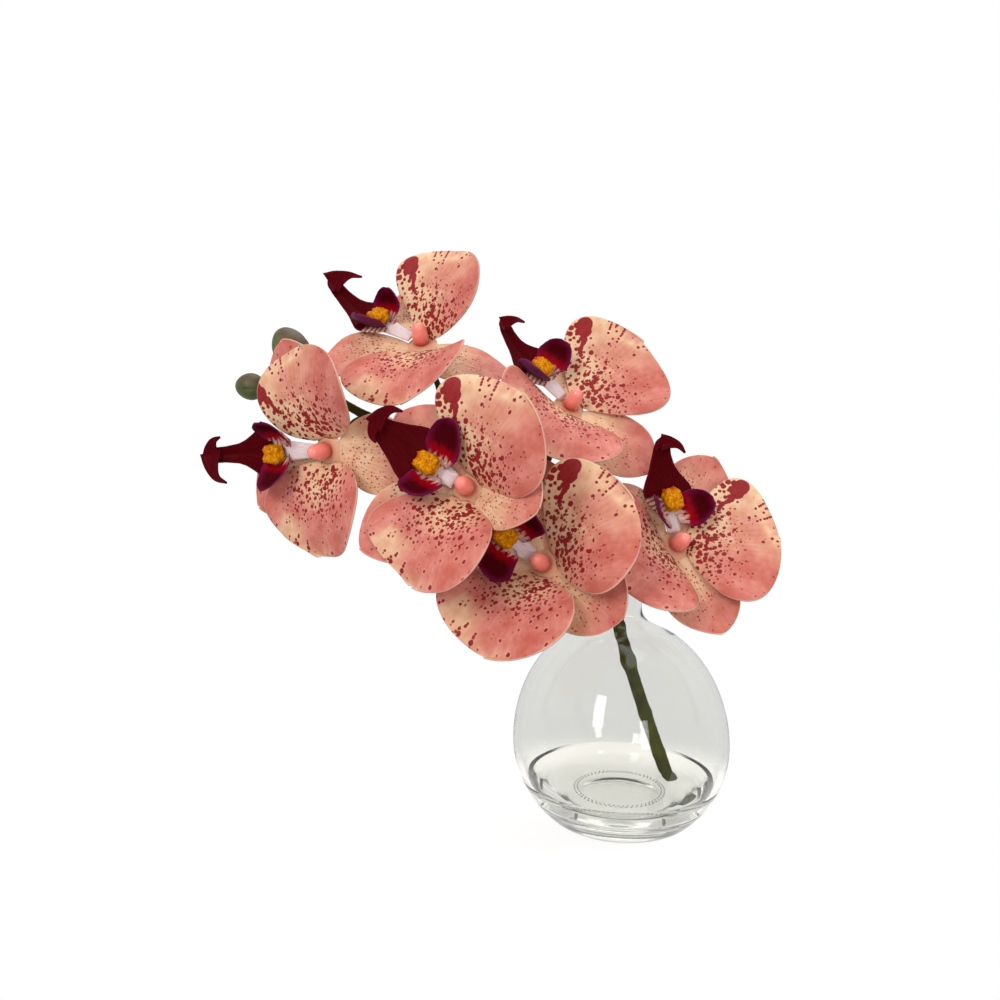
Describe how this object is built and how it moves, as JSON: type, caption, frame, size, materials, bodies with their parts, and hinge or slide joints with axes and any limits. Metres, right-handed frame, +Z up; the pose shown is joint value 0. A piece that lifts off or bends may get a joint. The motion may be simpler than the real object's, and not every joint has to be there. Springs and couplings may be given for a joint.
{
  "type": "moth orchid spray in glass bud vase",
  "caption": "Arching spray of spotted pink moth orchids with dark red lips and green buds, standing in a round clear glass bud vase with still clear water.",
  "frame": {"origin": "centre of the vase's foot, on the surface it stands on", "axes": "+Z up; +X to the right seen from the front; the blooms face -Y and the spray leans to -X"},
  "size_m": [0.2527, 0.1139, 0.2514],
  "materials": {
    "glass": "clear blown glass, polished",
    "clear_water": "clear set resin that looks like still water",
    "petal_print": "satin fabric printed salmon pink on cream with crimson spots",
    "lip_wine": "dark wine red satin fabric with purple edges",
    "callus_gold": "yellow orange, satin",
    "column_pink": "glossy coral pink",
    "stem_green": "olive green, satin",
    "bud_green": "olive green flushed brown, satin"
  },
  "bodies": {
    "root": {"vase": "glass", "water": "clear_water", "flower_stem": "stem_green", "bud_1": "bud_green", "bud_2": "bud_green", "bloom_1_tepals": "petal_print", "bloom_1_lip": "lip_wine", "bloom_1_callus": "callus_gold", "bloom_1_column": "column_pink", "bloom_2_tepals": "petal_print", "bloom_2_lip": "lip_wine", "bloom_2_callus": "callus_gold", "bloom_2_column": "column_pink", "bloom_3_tepals": "petal_print", "bloom_3_lip": "lip_wine", "bloom_3_callus": "callus_gold", "bloom_3_column": "column_pink", "bloom_4_tepals": "petal_print", "bloom_4_lip": "lip_wine", "bloom_4_callus": "callus_gold", "bloom_4_column": "column_pink", "bloom_5_tepals": "petal_print", "bloom_5_lip": "lip_wine", "bloom_5_callus": "callus_gold", "bloom_5_column": "column_pink", "bloom_6_tepals": "petal_print", "bloom_6_lip": "lip_wine", "bloom_6_callus": "callus_gold", "bloom_6_column": "column_pink"}
  },
  "joints": []
}
